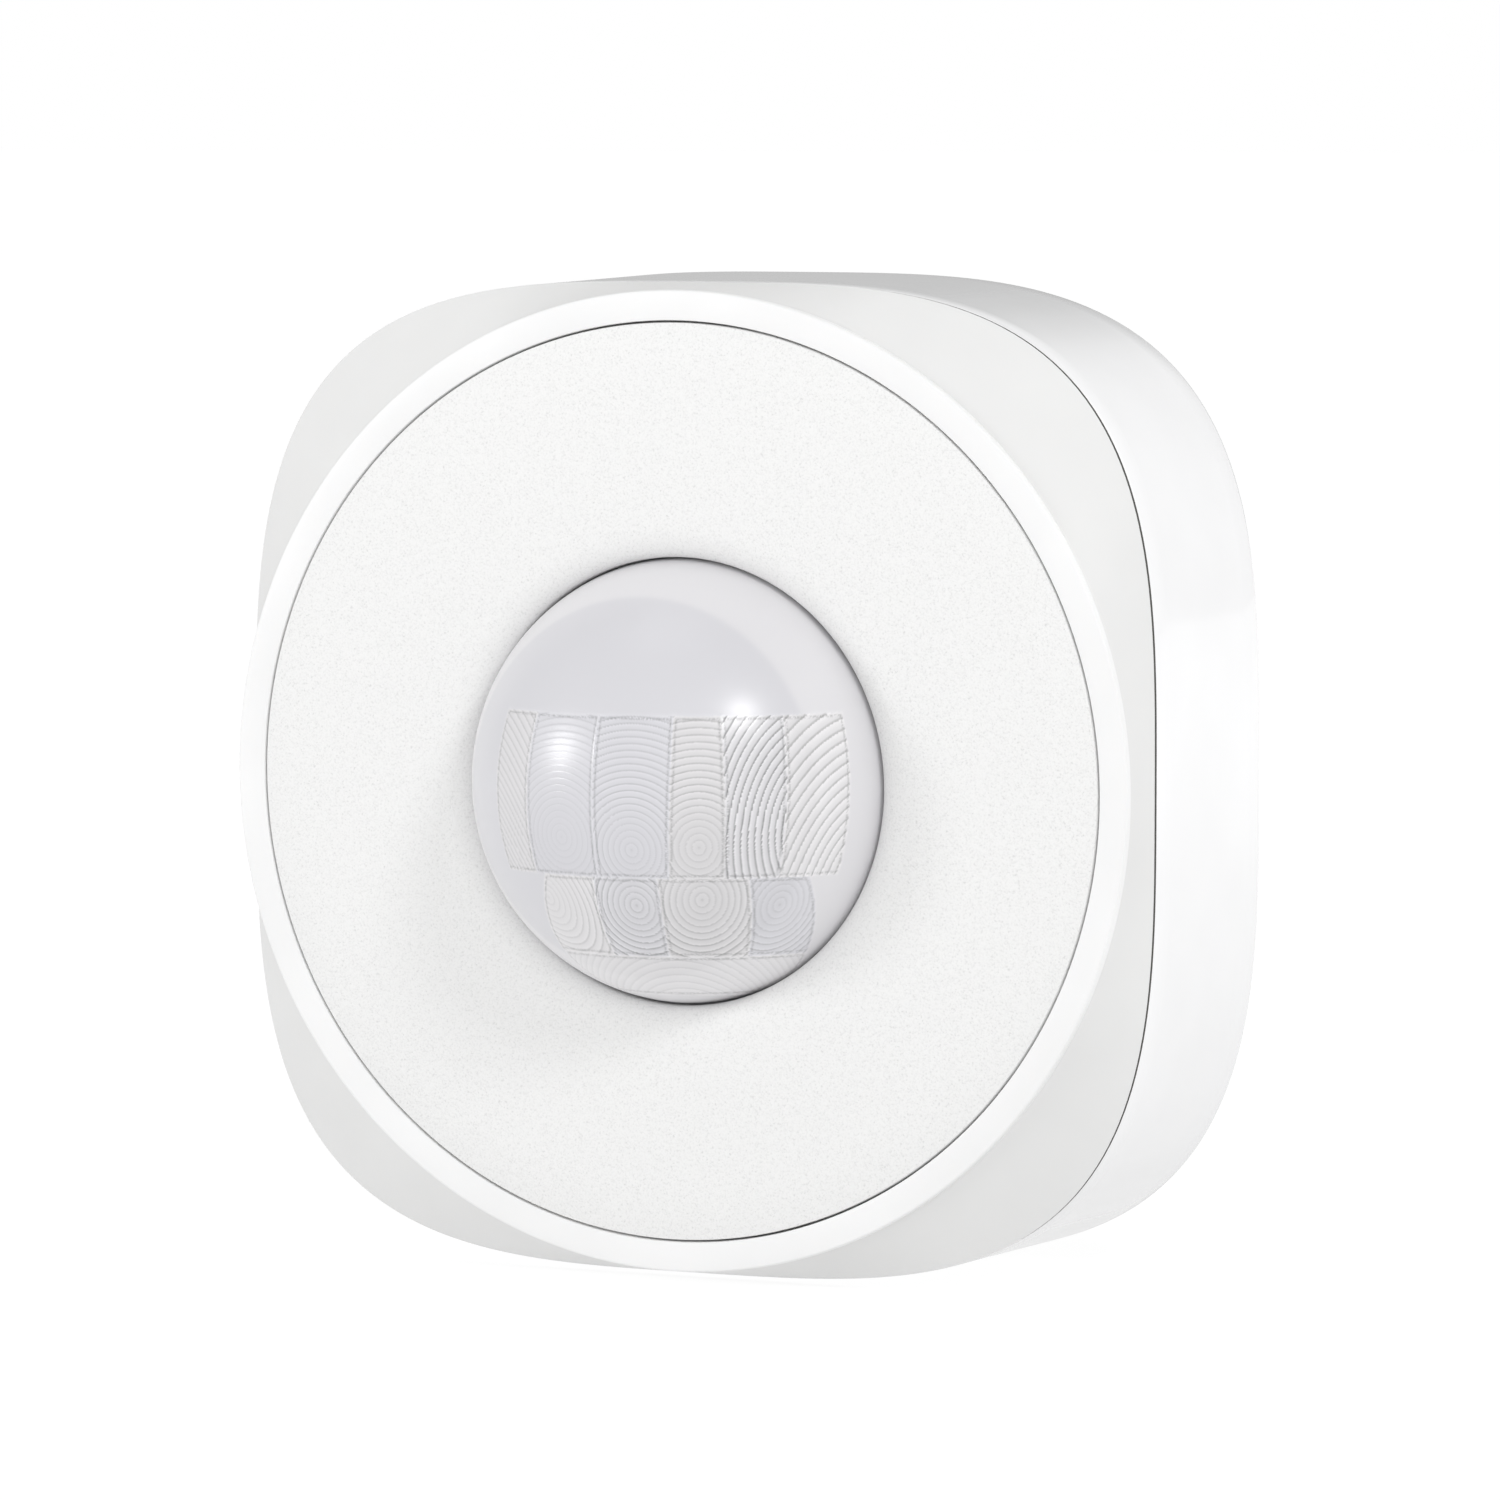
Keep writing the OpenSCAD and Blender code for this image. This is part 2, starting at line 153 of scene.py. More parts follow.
def make_object(name, vertices, faces, sharp_degrees=38):
    """A smooth-shaded mesh object with its normals outward and creases kept above an angle."""
    mesh = bpy.data.meshes.new(name)
    mesh.from_pydata(vertices, [], faces)
    mesh.validate()
    mesh.polygons.foreach_set("use_smooth", [True] * len(mesh.polygons))
    mesh.update()
    work = bmesh.new()
    work.from_mesh(mesh)
    bmesh.ops.recalc_face_normals(work, faces=work.faces)
    work.to_mesh(mesh)
    work.free()
    mesh.set_sharp_from_angle(angle=math.radians(sharp_degrees))
    obj = bpy.data.objects.new(name, mesh)
    bpy.context.scene.collection.objects.link(obj)
    return obj


def place(obj, material, body, slot_name, *nodes):
    """Gives a piece its material and body, and hides the CAD nodes it stands for; the record slot name is
    not used.
    """
    if not obj.data.materials:
        obj.data.materials.append(material)
    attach(obj, body)
    if nodes:
        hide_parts(*nodes)


def tube(centre, outer, inner, front, back, sides=48):
    """A closed tube along the depth with softly rounded ends."""
    soft = 0.08 * MM
    return skin([
        loop(inner, front, centre=centre, sides=sides),
        loop(outer - soft, front, centre=centre, sides=sides),
        loop(outer, front + soft, centre=centre, sides=sides),
        loop(outer, back - soft, centre=centre, sides=sides),
        loop(outer - soft, back, centre=centre, sides=sides),
        loop(inner, back, centre=centre, sides=sides),
    ])


# ---------------------------------------------------------------- materials

class Nodes:
    """Builds one node material, with object coordinates in metres."""

    def __init__(self, name):
        self.material = bpy.data.materials.new(name)
        self.material.use_nodes = True
        self.tree = self.material.node_tree
        self.shader = self.tree.nodes["Principled BSDF"]
        self.coords = self.tree.nodes.new("ShaderNodeTexCoord")

    def add(self, kind, **inputs):
        made = self.tree.nodes.new(kind)
        for key, value in inputs.items():
            made.inputs[key].default_value = value
        return made

    def link(self, source, target):
        self.tree.links.new(source, target)

    def noise(self, feature, detail=4.0, roughness=0.55):
        """Noise whose features are about this many metres across."""
        made = self.add("ShaderNodeTexNoise", Scale=1 / feature, Detail=detail, Roughness=roughness)
        self.link(self.coords.outputs["Object"], made.inputs["Vector"])
        return made.outputs["Fac"]

    def ramp(self, factor, stops):
        """Colours between (position, colour) stops."""
        made = self.tree.nodes.new("ShaderNodeValToRGB")
        elements = made.color_ramp.elements
        while len(elements) < len(stops):
            elements.new(0.5)
        for element, (position, colour) in zip(elements, stops):
            element.position = position
            element.color = (*colour, 1.0)
        self.link(factor, made.inputs["Fac"])
        return made.outputs["Color"]

    def range(self, factor, low, high):
        """A factor from 0 to 1 spread over a range."""
        made = self.tree.nodes.new("ShaderNodeMapRange")
        made.inputs["To Min"].default_value = low
        made.inputs["To Max"].default_value = high
        self.link(factor, made.inputs["Value"])
        return made.outputs["Result"]

    def bump(self, height, distance, under=None):
        """Normals for a relief of this depth, on top of another bump if one is given."""
        made = self.add("ShaderNodeBump", Strength=1.0, Distance=distance)
        self.link(height, made.inputs["Height"])
        if under is not None:
            self.link(under, made.inputs["Normal"])
        return made.outputs["Normal"]


def shade(colour, factor):
    """A colour made lighter or darker, and kept within range."""
    return tuple(min(1.0, c * factor) for c in colour)


def plastic(name, colour, roughness, grain=0.25 * MM, depth=0.004 * MM, mottling=0.02, coat=0.0,
            subsurface=0.0):
    """Moulded plastic: fine grain, a faint drift of colour and gloss, and optional clear coat."""
    n = Nodes(name)
    drift = n.noise(9 * MM, 2.0)
    n.link(n.ramp(drift, [(0.3, shade(colour, 1 - mottling)), (0.7, shade(colour, 1 + mottling))]),
           n.shader.inputs["Base Color"])
    grain_noise = n.noise(grain, 5.0)
    n.link(n.range(grain_noise, roughness * 0.88, min(1.0, roughness * 1.12)), n.shader.inputs["Roughness"])
    n.link(n.bump(grain_noise, depth), n.shader.inputs["Normal"])
    n.shader.inputs["Coat Weight"].default_value = coat
    n.shader.inputs["Coat Roughness"].default_value = 0.04
    n.shader.inputs["Subsurface Weight"].default_value = subsurface
    n.shader.inputs["Subsurface Radius"].default_value = (1.0, 0.9, 0.8)
    n.shader.inputs["Subsurface Scale"].default_value = 0.6 * MM
    return n.material


def speckled_plastic(name, colour):
    """The face disc: spark-eroded texture, with sparse darker specks in a matte white."""
    n = Nodes(name)
    speck = n.noise(0.14 * MM, 3.0, 0.7)
    stops = [(0.3, shade(colour, 0.82)), (0.4, shade(colour, 0.96)), (0.55, shade(colour, 1.015))]
    n.link(n.ramp(speck, stops), n.shader.inputs["Base Color"])
    coarse = n.noise(0.45 * MM, 3.0)
    n.link(n.bump(speck, 0.03 * MM, under=n.bump(coarse, 0.03 * MM)), n.shader.inputs["Normal"])
    n.shader.inputs["Roughness"].default_value = 0.62
    return n.material


def metal(name, colour, roughness):
    """Sheet metal with drawn streaks and faint tarnish."""
    n = Nodes(name)
    stretch = n.add("ShaderNodeMapping", Scale=(1.0, 12.0, 1.0))
    n.link(n.coords.outputs["Object"], stretch.inputs["Vector"])
    streak = n.add("ShaderNodeTexNoise", Scale=1 / (0.6 * MM), Detail=5.0)
    n.link(stretch.outputs["Vector"], streak.inputs["Vector"])
    n.link(n.ramp(streak.outputs["Fac"], [(0.25, shade(colour, 0.86)), (0.75, shade(colour, 1.06))]),
           n.shader.inputs["Base Color"])
    n.link(n.range(streak.outputs["Fac"], roughness * 0.75, roughness * 1.3), n.shader.inputs["Roughness"])
    n.link(n.bump(streak.outputs["Fac"], 0.003 * MM), n.shader.inputs["Normal"])
    n.shader.inputs["Metallic"].default_value = 1.0
    return n.material


def board_material(name):
    """Solder mask over copper: tracks that run up in some patches and across in others."""
    n = Nodes(name)
    runs = []
    for direction in ("X", "Z"):
        wave = n.add("ShaderNodeTexWave", Scale=1 / (7 * MM), Distortion=0.0)
        wave.bands_direction = direction
        n.link(n.coords.outputs["Object"], wave.inputs["Vector"])
        runs.append(wave)
    patches = n.add("ShaderNodeTexVoronoi", Scale=1 / (7 * MM))
    patches.distance = "CHEBYCHEV"
    n.link(n.coords.outputs["Object"], patches.inputs["Vector"])
    split = n.add("ShaderNodeSeparateColor")
    n.link(patches.outputs["Color"], split.inputs["Color"])
    across = n.add("ShaderNodeMix")
    either = n.add("ShaderNodeMath")
    either.operation = "ROUND"
    n.link(split.outputs["Red"], either.inputs[0])
    n.link(either.outputs["Value"], across.inputs["Factor"])
    n.link(runs[0].outputs["Fac"], across.inputs["A"])
    n.link(runs[1].outputs["Fac"], across.inputs["B"])
    copper = n.ramp(across.outputs["Result"], [(0.8, (0.012, 0.085, 0.035)), (0.86, (0.045, 0.21, 0.08))])
    n.link(copper, n.shader.inputs["Base Color"])
    n.link(n.bump(across.outputs["Result"], 0.02 * MM), n.shader.inputs["Normal"])
    n.shader.inputs["Roughness"].default_value = 0.32
    n.shader.inputs["Coat Weight"].default_value = 0.4
    return n.material


def lens_material(name):
    """Milky lens plastic, tinted by the tone stored on the mesh."""
    n = Nodes(name)
    tone = n.tree.nodes.new("ShaderNodeVertexColor")
    tone.layer_name = "tone"
    n.link(tone.outputs["Color"], n.shader.inputs["Base Color"])
    cloud = n.noise(0.22 * MM, 4.0)
    n.link(n.bump(cloud, 0.003 * MM), n.shader.inputs["Normal"])
    n.shader.inputs["Roughness"].default_value = 0.3
    n.shader.inputs["Subsurface Weight"].default_value = 0.12
    n.shader.inputs["Subsurface Radius"].default_value = (1.0, 0.95, 1.0)
    n.shader.inputs["Subsurface Scale"].default_value = 0.5 * MM
    n.shader.inputs["Coat Weight"].default_value = 0.35
    n.shader.inputs["Coat Roughness"].default_value = 0.22
    return n.material


MATERIALS = {
    "front_white": plastic("front_white", (0.9, 0.9, 0.9), 0.4, subsurface=0.05),
    "face_texture": speckled_plastic("face_texture", (0.87, 0.87, 0.865)),
    "lens_milk": lens_material("lens_milk"),
    "inner_white": plastic("inner_white", (0.78, 0.78, 0.77), 0.55),
    # seam_rubber's near-black colour is a painted shadow for the shade in the seam between shell and band.
    "seam_rubber": plastic("seam_rubber", (0.07, 0.067, 0.063), 0.85),
    "band_gloss": plastic("band_gloss", (0.94, 0.94, 0.947), 0.16, grain=2 * MM, depth=0.002 * MM,
                          coat=1.0),
    "screw_steel": metal("screw_steel", (0.62, 0.62, 0.64), 0.28),
    "board_green": board_material("board_green"),
    "can_steel": metal("can_steel", (0.7, 0.7, 0.71), 0.25),
    "filter_dark": plastic("filter_dark", (0.03, 0.03, 0.04), 0.12),
    "lead_metal": metal("lead_metal", (0.8, 0.64, 0.34), 0.3),
    "led_red": plastic("led_red", (0.62, 0.08, 0.06), 0.12, coat=0.6),
    "chip_black": plastic("chip_black", (0.03, 0.03, 0.033), 0.55),
    "shield_steel": metal("shield_steel", (0.68, 0.68, 0.69), 0.34),
    "capacitor_body": metal("capacitor_body", (0.6, 0.6, 0.63), 0.3),
    "trace_copper": metal("trace_copper", (0.8, 0.48, 0.24), 0.32),
    "holder_black": plastic("holder_black", (0.035, 0.035, 0.04), 0.5),
    "cell_steel": metal("cell_steel", (0.7, 0.7, 0.71), 0.24),
    "contact_metal": metal("contact_metal", (0.8, 0.7, 0.46), 0.28),
    "switch_black": plastic("switch_black", (0.04, 0.04, 0.045), 0.5),
    "plunger_white": plastic("plunger_white", (0.75, 0.75, 0.72), 0.4),
    "switch_steel": metal("switch_steel", (0.64, 0.64, 0.66), 0.35),
    "cover_white": plastic("cover_white", (0.83, 0.83, 0.825), 0.5, depth=0.008 * MM),
    "bracket_white": plastic("bracket_white", (0.8, 0.8, 0.795), 0.55, depth=0.01 * MM),
}
# The shoulders' material is a darker, slightly rougher copy of front_white: the darker colour is painted
# shade for their slope away from the light.
SHOULDER_PAINTED_SHADE = plastic("shoulder_painted_shade", (0.79, 0.79, 0.785), 0.5, subsurface=0.05)


# ---------------------------------------------------------------- outer pieces

def front_shell():
    """Bright ring moulded with four shoulders that slope from the circle to the rounded square."""
    rounding = 0.09 * MM
    shoulder_top = 0.42 * MM
    seam_front = SEAM_DEPTH - rounding
    spigot_outer = 28.3 * MM
    spigot_inner = 27 * MM
    spigot_back = 5 * MM
    flange_recess = FLANGE_RADIUS + 0.2 * MM
    buried = 0.1 * MM
    loops = [
        loop(LENS_OPENING, DISC_BACK),
        loop(RECESS_RADIUS, DISC_BACK),
        loop(RECESS_RADIUS, rounding),
        loop(RECESS_RADIUS + 0.3 * rounding, 0.3 * rounding),
        loop(RECESS_RADIUS + rounding, 0),
        loop(RING_RADIUS - 0.16 * MM, 0),
        loop(RING_RADIUS - 0.08 * MM, 0.02 * MM),
        loop(RING_RADIUS - 0.02 * MM, 0.08 * MM),
        loop(RING_RADIUS, 0.2 * MM),
    ]
    steps = 14
    for k in range(steps + 1):
        share = k / steps
        depth = shoulder_top + (seam_front - shoulder_top) * share
        loops.append(loop(RING_RADIUS + 0.02 * MM, depth, share, HOUSING_HALF))
    loops += [
        square(HOUSING_HALF - 0.3 * rounding, SEAM_DEPTH - 0.3 * rounding),
        square(HOUSING_HALF - rounding, SEAM_DEPTH),
        square(spigot_outer, SEAM_DEPTH),
        square(spigot_outer, spigot_back),
        square(spigot_inner, spigot_back),
        square(spigot_inner, WEB_BACK),
        loop(flange_recess, WEB_BACK),
        loop(flange_recess, FLANGE_FRONT),
        loop(LENS_OPENING, FLANGE_FRONT),
    ]
    parts = [skin(loops)]
    for x in (-CORNER_BOSS, CORNER_BOSS):
        for z in (-CORNER_BOSS, CORNER_BOSS):
            parts.append(tube((x, z), 3 * MM, 1.0 * MM, WEB_BACK - buried, 9.9 * MM))
    for spot in ((-22.5, 8), (22.5, 8), (0, -22.8)):
        centre = (spot[0] * MM, spot[1] * MM)
        parts.append(tube(centre, 2.2 * MM, 0.95 * MM, WEB_BACK - buried, 7.5 * MM))
    stake_ring = 16.2 * MM
    for quarter in range(4):
        angle = math.radians(45 + 90 * quarter)
        centre = (stake_ring * math.cos(angle), stake_ring * math.sin(angle))
        parts.append(tube(centre, 0.8 * MM, 0.1 * MM, WEB_BACK - buried, 5 * MM, 24))
        parts.append(tube(centre, 1.4 * MM, 0.1 * MM, 4.5 * MM, 5.05 * MM, 24))
    obj = make_object("front_shell_skin", *merge(*parts))
    obj.data.materials.append(MATERIALS["front_white"])
    obj.data.materials.append(SHOULDER_PAINTED_SHADE)
    # Faces from the top of the shoulders back take the darker copy: painted shade on the sloping shoulders.
    for face in obj.data.polygons:
        face.material_index = 1 if face.center.y > FRONT + shoulder_top - 0.02 * MM else 0
    place(obj, MATERIALS["front_white"], "sensor_body", "front_white", "front_shell")


def face_disc():
    """Textured disc whose surface rolls over into the lens hole."""
    edge = 0.1 * MM
    lip_width = 1.9 * MM
    lip_depth = 1.05 * MM
    loops = [
        loop(DISC_RADIUS, DISC_BACK),
        loop(DISC_RADIUS, edge),
        loop(DISC_RADIUS - 0.3 * edge, 0.3 * edge),
        loop(DISC_RADIUS - edge, 0),
    ]
    for share in (0.25, 0.5, 0.75):
        loops.append(loop(DISC_RADIUS + (LENS_HOLE + lip_width - DISC_RADIUS) * share, 0))
    steps = 14
    for k in range(steps, -1, -1):
        angle = math.radians(90 * k / steps)
        loops.append(loop(LENS_HOLE + lip_width * (1 - math.cos(angle)), lip_depth * (1 - math.sin(angle))))
    loops.append(loop(LENS_HOLE, DISC_BACK))
    obj = make_object("face_disc_skin", *skin(loops))
    place(obj, MATERIALS["face_texture"], "sensor_body", "face_texture", "face_disc")


def screw_shelf(x, z, cavity):
    """Round shelf for one housing screw, cut off where it runs into the cavity wall."""
    sides = 64
    radius = 5 * MM
    hole_radius = 1.2 * MM
    front = 10 * MM
    back = 12 * MM
    sunk = 0.3 * MM
    rim = []
    for i in range(sides):
        angle = 2 * math.pi * i / sides
        spot = (x + radius * math.cos(angle), z + radius * math.sin(angle))
        limit = outline_radius(cavity + sunk, math.atan2(spot[1], spot[0]))
        pull = min(1.0, limit / math.hypot(*spot))
        rim.append((spot[0] * pull, spot[1] * pull))
    return skin([
        loop(hole_radius, front, centre=(x, z), sides=sides),
        [(p[0], FRONT + front, p[1]) for p in rim],
        [(p[0], FRONT + back, p[1]) for p in rim],
        loop(hole_radius, back, centre=(x, z), sides=sides),
    ])


def band():
    """Glossy band with rounded edges, the rebate for the cover and a screw shelf in each corner."""
    rounding = 0.12 * MM
    back_rounding = 0.7 * MM
    front = SEAM_STRIP_BACK
    cavity = 28.5 * MM
    rebate = 29.1 * MM
    rebate_front = 17.6 * MM
    loops = [
        square(cavity, front),
        square(HOUSING_HALF - rounding, front),
        square(HOUSING_HALF - 0.3 * rounding, front + 0.3 * rounding),
        square(HOUSING_HALF, front + rounding),
    ]
    steps = 8
    for k in range(1, steps + 1):
        share = k / steps
        depth = front + rounding + (BACK_EDGE - back_rounding - front - rounding) * share
        loops.append(square(HOUSING_HALF + (BACK_HALF - HOUSING_HALF) * share, depth))
    for k in range(1, 6):
        angle = math.radians(18 * k)
        loops.append(square(BACK_HALF - back_rounding * (1 - math.cos(angle)),
                            BACK_EDGE - back_rounding * (1 - math.sin(angle))))
    loops += [
        square(rebate, BACK_EDGE),
        square(rebate, rebate_front),
        square(cavity, rebate_front),
    ]
    parts = [skin(loops)]
    for x in (-CORNER_BOSS, CORNER_BOSS):
        for z in (-CORNER_BOSS, CORNER_BOSS):
            parts.append(screw_shelf(x, z, cavity))
    obj = make_object("band_skin", *merge(*parts))
    place(obj, MATERIALS["band_gloss"], "sensor_body", "band_gloss", "rear_housing")


def seam_shadow_strip():
    """Dark strip in the seam between the shell and the band, almost flush with both: a painted shadow,
    standing for the shade in the gap of the seam.
    """
    inset = 0.02 * MM
    inner = 28.4 * MM
    loops = [
        square(inner, SEAM_DEPTH),
        square(HOUSING_HALF - inset, SEAM_DEPTH),
        square(HOUSING_HALF - inset, SEAM_STRIP_BACK),
        square(inner, SEAM_STRIP_BACK),
    ]
    obj = make_object("seam_shadow_strip_skin", *skin(loops))
    place(obj, MATERIALS["seam_rubber"], "sensor_body", "seam_rubber", "seam_gasket")


# ---------------------------------------------------------------- lens

# Left and right edges at the top and at the foot of a facet, in degrees round the dome; its row;
# the centre of its rings (degrees, mm); its lightness and blueness; the contrast and the pitch
# (mm) of its rings.
Facet = namedtuple("Facet", "left_top right_top left_foot right_foot row "
                            "ring_turn ring_z light blue contrast pitch")
UPPER_ROW = (-4.9, 4.7)                       # low and high edges, in mm
LOWER_ROW = (-9.85, -4.9)
FOOT_ROW = (-12.6, -9.85)
FACETS = [
    Facet(-36, -22, -36, -23, UPPER_ROW, -52, -6.0, 1.01, 0.2, 0.24, 0.38),
    Facet(-22, -1.4, -23, -1.8, UPPER_ROW, -11.5, -2.6, 0.975, 1.0, 0.14, 0.36),
    Facet(-1.4, 19.3, -1.8, 18.0, UPPER_ROW, 8.5, -3.2, 0.965, 1.0, 0.28, 0.36),
    Facet(19.3, 32, 18.0, 33, UPPER_ROW, 26, -3.0, 0.985, 0.1, 0.36, 0.38),
    Facet(32, 49, 33, 48, UPPER_ROW, 62, -2.0, 0.955, 0.4, 0.7, 0.42),
    Facet(49, 68, 48, 67, UPPER_ROW, 76, -5.2, 1.04, 0.1, 0.44, 0.56),
    Facet(-20, -3.5, -33, -5.7, LOWER_ROW, -22, -6.4, 1.07, 0.1, 0.28, 0.38),
    Facet(-3.5, 14.8, -5.7, 15.7, LOWER_ROW, 8, -6.6, 0.96, 0.8, 0.6, 0.36),
    Facet(14.8, 39.6, 15.7, 44.6, LOWER_ROW, 27, -6.2, 0.985, 0.1, 0.46, 0.38),
    Facet(39.6, 57.4, 44.6, 70, LOWER_ROW, 50, -6.6, 0.95, 1.0, 0.36, 0.38),
    Facet(-33, 70, -40, 80, FOOT_ROW, 18, -16.0, 1.09, 0.2, 0.14, 0.45),
]
LENS_COLOUR = (0.675, 0.672, 0.7)
SKIRT_LIGHTNESS = 1.11                        # the skirt against the crown
ZONE_ANGLE = math.radians(57)                 # where the crown meets the skirt
RING_HEIGHT = 0.008 * MM
FULL_RING_REACH = 3.0 * MM                    # how far from their centre the rings are at full depth
RING_SQUASH = 0.92
BORDER_WIDTH = 0.1 * MM
BORDER_HEIGHT = 0.01 * MM
SHADOW_INSET = 0.16 * MM                      # from a border to the dark line inside it
SHADOW_WIDTH = 0.07 * MM


def lens_relief(x, z, turn):
    """Relief height and tone of the dome at each point, from its facets, rings and borders; the tone
    includes a painted highlight and a painted shadow line at each border.
    """
    generator = np.random.default_rng(7)
    relief = np.zeros_like(x)
    lightness = np.ones_like(x)
    blue = np.full_like(x, 0.7)
    girth = np.sqrt(np.maximum(DOME_RADIUS ** 2 - z ** 2, 1e-12))
    wobble = 0.05 * MM * np.sin(z / (0.35 * MM)) + 0.03 * MM * np.sin(girth * turn / (0.22 * MM))
    in_any = np.zeros(x.shape, bool)
    for facet in FACETS:
        low, high = facet.row
        fall = (high * MM - z) / ((high - low) * MM)
        left = np.radians(facet.left_top + (facet.left_foot - facet.left_top) * fall)
        right = np.radians(facet.right_top + (facet.right_foot - facet.right_top) * fall)
        sideways = np.minimum(girth * (turn - left), girth * (right - turn))
        upright = np.minimum(z - low * MM, high * MM - z)
        inside = np.minimum(sideways, upright)
        here = inside > 0

        across = girth * (turn - math.radians(facet.ring_turn))
        reach = np.hypot(across, (z - facet.ring_z * MM) * RING_SQUASH)
        phase = (reach / (facet.pitch * MM)) % 1.0
        wave = phase ** 2
        groove = np.exp(-((phase - 0.08) / 0.13) ** 2)
        strength = np.clip(reach / FULL_RING_REACH, 0.4, 1.0) * (0.8 + 0.35 * generator.random(x.shape))
        relief[here] = (RING_HEIGHT * wave * strength)[here]
        ring_tone = 1 + facet.contrast * strength * (0.45 * wave - 0.8 * groove)
        lightness[here] = (facet.light * ring_tone)[here]
        blue[here] = facet.blue

        # Along each border the tone is lifted as a painted highlight on the ridge, and the broken dark line
        # just inside it is a painted shadow.
        border = np.exp(-((inside + wobble * 0.4) / BORDER_WIDTH) ** 2)
        near = np.abs(inside) < 4 * BORDER_WIDTH
        relief[near] += (BORDER_HEIGHT * border)[near]
        broken = 0.5 + 0.5 * generator.random(x.shape)
        shadow = np.exp(-((inside - SHADOW_INSET) / SHADOW_WIDTH) ** 2) * (broken > 0.66)
        lightness[near] *= (1 + (0.06 * border - 0.4 * shadow) * broken)[near]
        in_any |= here
    return relief, lightness, blue, in_any


def lens():
    """Milky dome: smooth crown and skirt, rows of ringed facets, and a flange behind the disc."""
    rings = 260
    sides = 1000
    lowest = math.acos((DOME_CENTRE - FLANGE_FRONT) / DOME_RADIUS)
    polar = np.linspace(0.0, lowest, rings + 1)[1:]
    around = np.arange(sides) * 2 * math.pi / sides
    polar_grid, around_grid = np.meshgrid(polar, around, indexing="ij")
    x = DOME_RADIUS * np.sin(polar_grid) * np.cos(around_grid)
    z = DOME_RADIUS * np.sin(polar_grid) * np.sin(around_grid)
    forward = DOME_RADIUS * np.cos(polar_grid)
    turn = np.arctan2(x, forward)
    relief, lightness, blue, in_facet = lens_relief(x, z, turn)
    grow = 1 + relief / DOME_RADIUS
    centre_y = FRONT + DOME_CENTRE
    points = np.stack([x * grow, centre_y - forward * grow, z * grow], axis=-1).reshape(-1, 3)

    skirt = 1 / (1 + np.exp(-(polar_grid - ZONE_ANGLE) / math.radians(0.5)))
    gain = np.where(in_facet, 0.05, SKIRT_LIGHTNESS - 1)
    light = lightness * (1 + gain * skirt)
    tint = np.where(in_facet, blue, 0.9 - 0.5 * skirt)
    tone = np.stack([
        LENS_COLOUR[0] * light * (1.01 - 0.01 * tint),
        LENS_COLOUR[1] * light,
        LENS_COLOUR[2] * light * (0.972 + 0.035 * tint),
    ], axis=-1).reshape(-1, 3)

    vertices = [(0.0, centre_y - DOME_RADIUS, 0.0)] + [tuple(p) for p in points]
    faces = [(0, 1 + i, 1 + (i + 1) % sides) for i in range(sides)]
    for k in range(rings - 1):
        a = 1 + k * sides
        b = a + sides
        faces.extend((a + i, a + (i + 1) % sides, b + (i + 1) % sides, b + i) for i in range(sides))
    tones = [LENS_COLOUR] + [tuple(t) for t in tone]

    inner_radius = DOME_RADIUS - DOME_WALL
    back_loops = [
        loop(FLANGE_RADIUS, FLANGE_FRONT, sides=sides),
        loop(FLANGE_RADIUS, WEB_BACK, sides=sides),
    ]
    inner_steps = 24
    widest = math.acos((DOME_CENTRE - WEB_BACK) / inner_radius)
    for k in range(inner_steps, 0, -1):
        angle = widest * k / inner_steps
        depth = DOME_CENTRE - inner_radius * math.cos(angle)
        back_loops.append(loop(inner_radius * math.sin(angle), depth, sides=sides))
    previous = 1 + (rings - 1) * sides
    for ring in back_loops:
        base = len(vertices)
        vertices.extend(ring)
        tones.extend([shade(LENS_COLOUR, SKIRT_LIGHTNESS)] * sides)
        faces.extend((previous + i, previous + (i + 1) % sides, base + (i + 1) % sides, base + i)
                     for i in range(sides))
        previous = base
    tip = len(vertices)
    vertices.append((0.0, centre_y - inner_radius, 0.0))
    tones.append(LENS_COLOUR)
    faces.extend((previous + i, previous + (i + 1) % sides, tip) for i in range(sides))

    obj = make_object("lens_skin", vertices, faces, 60)
    layer = obj.data.color_attributes.new("tone", "FLOAT_COLOR", "POINT")
    flat = np.ones((len(vertices), 4), dtype=np.float32)
    flat[:, :3] = np.array(tones, dtype=np.float32)
    layer.data.foreach_set("color", flat.ravel())
    place(obj, MATERIALS["lens_milk"], "sensor_body", "lens_milk", "fresnel_lens")


# ---------------------------------------------------------------- CAD nodes that stay

def dress_cad_nodes():
    """Gives every CAD node its material, and a small rounding on its edges."""
    slots = {entry["node"]: entry["material_slot"] for entry in frame["record"]["subparts"]}
    for name, obj in frame["nodes"].items():
        obj.data.materials.clear()
        obj.data.materials.append(MATERIALS[slots[name]])
        low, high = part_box(name)
        thinnest = min(high[i] - low[i] for i in range(3))
        rounding = obj.modifiers.new("edges", "BEVEL")
        rounding.width = min(0.15 * MM, thinnest * 0.12)
        rounding.segments = 2
        rounding.limit_method = "ANGLE"
        rounding.angle_limit = math.radians(40)


# ---------------------------------------------------------------- camera, light and floor

VIEW_AZIMUTH = math.radians(25.0)
VIEW_ELEVATION = math.radians(4.4)
VIEW_DISTANCE = 0.5
FOCAL_MM = 200
SENSOR_MM = 36
OBJECT_LEFT = 4.67 * MM                       # how far the face sits left of the picture's middle
OBJECT_LOW = 1.98 * MM                        # how far it sits below


